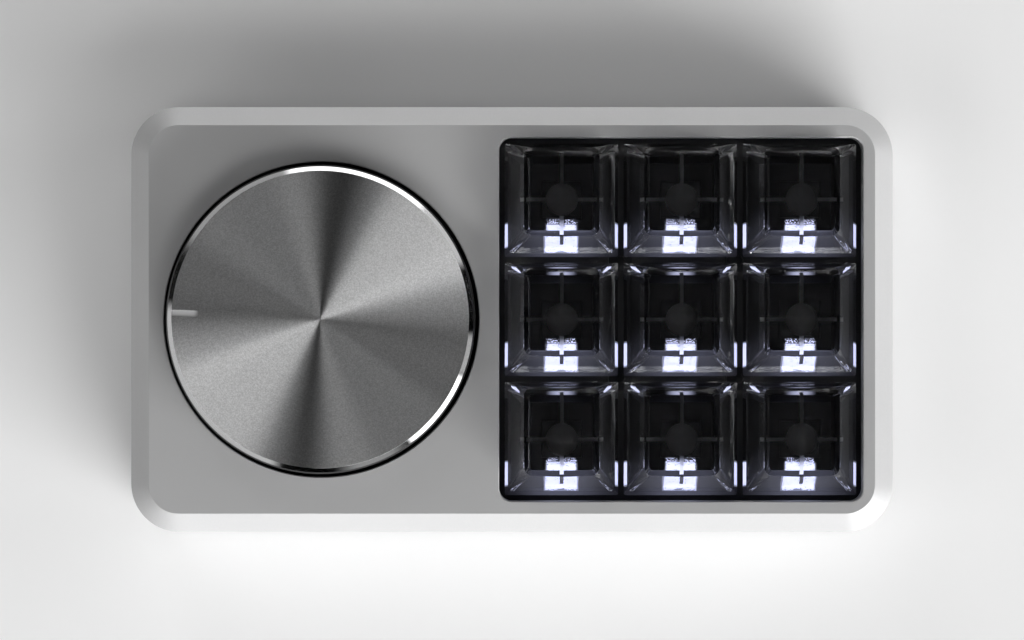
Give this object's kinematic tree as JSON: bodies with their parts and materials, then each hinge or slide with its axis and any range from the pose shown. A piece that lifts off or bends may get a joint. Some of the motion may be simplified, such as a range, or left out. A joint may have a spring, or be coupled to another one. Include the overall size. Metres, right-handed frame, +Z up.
{
  "type": "macro keypad with knob",
  "caption": "Desk keypad: a block of clear sprung keys in a square well beside one large knob that turns and presses, in a chamfered metal case on rubber feet.",
  "frame": {"origin": "centre of the case's outline, on the desk plane under the rubber feet", "axes": "+X along the case from the knob to the keys, +Y away from the user towards the cable port, +Z up"},
  "size_m": [0.1216, 0.0678, 0.028],
  "materials": {
    "case_aluminium": "bead-blasted, clear anodised",
    "cover_anodised": "dark anodised, satin",
    "screw_steel": "satin",
    "screw_black": "blackened",
    "foot_rubber": "matt",
    "cap_clear": "clear, polished",
    "housing_black": "moulded",
    "stem_dark": "moulded",
    "spring_steel": "drawn wire",
    "contact_brass": "bright",
    "spacer_brass": "turned",
    "plate_black": "black, satin",
    "board_mask": "solder mask over glass fibre",
    "led_white": "lit, cool white",
    "guide_clear": "clear, lit from below",
    "chip_black": "moulded",
    "socket_steel": "plated",
    "rotor_plastic": "moulded",
    "knob_aluminium": "spun face, bright chamfer"
  },
  "bodies": {
    "case": {"case_shell": "case_aluminium", "bottom_cover": "cover_anodised", "cover_screws": "screw_steel", "rubber_feet": "foot_rubber", "switch_covers": "housing_black", "switch_bases": "housing_black", "switch_contacts": "contact_brass", "light_guides": "guide_clear", "switch_plate": "plate_black", "plate_screws": "screw_black", "plate_spacers": "spacer_brass", "circuit_board": "board_mask", "board_screws": "screw_black", "hotswap_sockets": "housing_black", "key_leds": "led_white", "key_diodes": "chip_black", "control_chips": "chip_black", "usb_shell": "socket_steel", "usb_tongue": "chip_black", "encoder_base": "chip_black", "encoder_bush": "socket_steel", "encoder_pins": "contact_brass", "encoder_washer": "socket_steel", "encoder_nut": "socket_steel", "encoder_dome": "spring_steel", "switch_spring_1": "spring_steel", "switch_spring_2": "spring_steel", "switch_spring_3": "spring_steel", "switch_spring_4": "spring_steel", "switch_spring_5": "spring_steel", "switch_spring_6": "spring_steel", "switch_spring_7": "spring_steel", "switch_spring_8": "spring_steel", "switch_spring_9": "spring_steel"},
    "key_1": {"keycap_1": "cap_clear", "switch_stem_1": "stem_dark"},
    "key_2": {"keycap_2": "cap_clear", "switch_stem_2": "stem_dark"},
    "key_3": {"keycap_3": "cap_clear", "switch_stem_3": "stem_dark"},
    "key_4": {"keycap_4": "cap_clear", "switch_stem_4": "stem_dark"},
    "key_5": {"keycap_5": "cap_clear", "switch_stem_5": "stem_dark"},
    "key_6": {"keycap_6": "cap_clear", "switch_stem_6": "stem_dark"},
    "key_7": {"keycap_7": "cap_clear", "switch_stem_7": "stem_dark"},
    "key_8": {"keycap_8": "cap_clear", "switch_stem_8": "stem_dark"},
    "key_9": {"keycap_9": "cap_clear", "switch_stem_9": "stem_dark"},
    "code_wheel": {"encoder_rotor": "rotor_plastic"},
    "knob": {"knob_body": "knob_aluminium", "knob_insert": "housing_black", "encoder_shaft": "socket_steel"}
  },
  "joints": [
    {"name": "key_1_press", "type": "slide", "parent": "case", "child": "key_1", "axis": [0, 0, -1], "range_m": [0, 0.004], "stiffness_N_per_m": 150, "springref_m": -0.002, "deforming": ["switch_spring_1"]},
    {"name": "key_2_press", "type": "slide", "parent": "case", "child": "key_2", "axis": [0, 0, -1], "range_m": [0, 0.004], "stiffness_N_per_m": 150, "springref_m": -0.002, "deforming": ["switch_spring_2"]},
    {"name": "key_3_press", "type": "slide", "parent": "case", "child": "key_3", "axis": [0, 0, -1], "range_m": [0, 0.004], "stiffness_N_per_m": 150, "springref_m": -0.002, "deforming": ["switch_spring_3"]},
    {"name": "key_4_press", "type": "slide", "parent": "case", "child": "key_4", "axis": [0, 0, -1], "range_m": [0, 0.004], "stiffness_N_per_m": 150, "springref_m": -0.002, "deforming": ["switch_spring_4"]},
    {"name": "key_5_press", "type": "slide", "parent": "case", "child": "key_5", "axis": [0, 0, -1], "range_m": [0, 0.004], "stiffness_N_per_m": 150, "springref_m": -0.002, "deforming": ["switch_spring_5"]},
    {"name": "key_6_press", "type": "slide", "parent": "case", "child": "key_6", "axis": [0, 0, -1], "range_m": [0, 0.004], "stiffness_N_per_m": 150, "springref_m": -0.002, "deforming": ["switch_spring_6"]},
    {"name": "key_7_press", "type": "slide", "parent": "case", "child": "key_7", "axis": [0, 0, -1], "range_m": [0, 0.004], "stiffness_N_per_m": 150, "springref_m": -0.002, "deforming": ["switch_spring_7"]},
    {"name": "key_8_press", "type": "slide", "parent": "case", "child": "key_8", "axis": [0, 0, -1], "range_m": [0, 0.004], "stiffness_N_per_m": 150, "springref_m": -0.002, "deforming": ["switch_spring_8"]},
    {"name": "key_9_press", "type": "slide", "parent": "case", "child": "key_9", "axis": [0, 0, -1], "range_m": [0, 0.004], "stiffness_N_per_m": 150, "springref_m": -0.002, "deforming": ["switch_spring_9"]},
    {"name": "knob_spin", "type": "hinge", "parent": "case", "child": "code_wheel", "pos_m": [-0.03035, 0, 0.01], "axis": [0, 0, 1], "continuous": true},
    {"name": "knob_press", "type": "slide", "parent": "code_wheel", "child": "knob", "axis": [0, 0, -1], "range_m": [0, 0.0005], "stiffness_N_per_m": 3000, "springref_m": -0.0007}
  ]
}
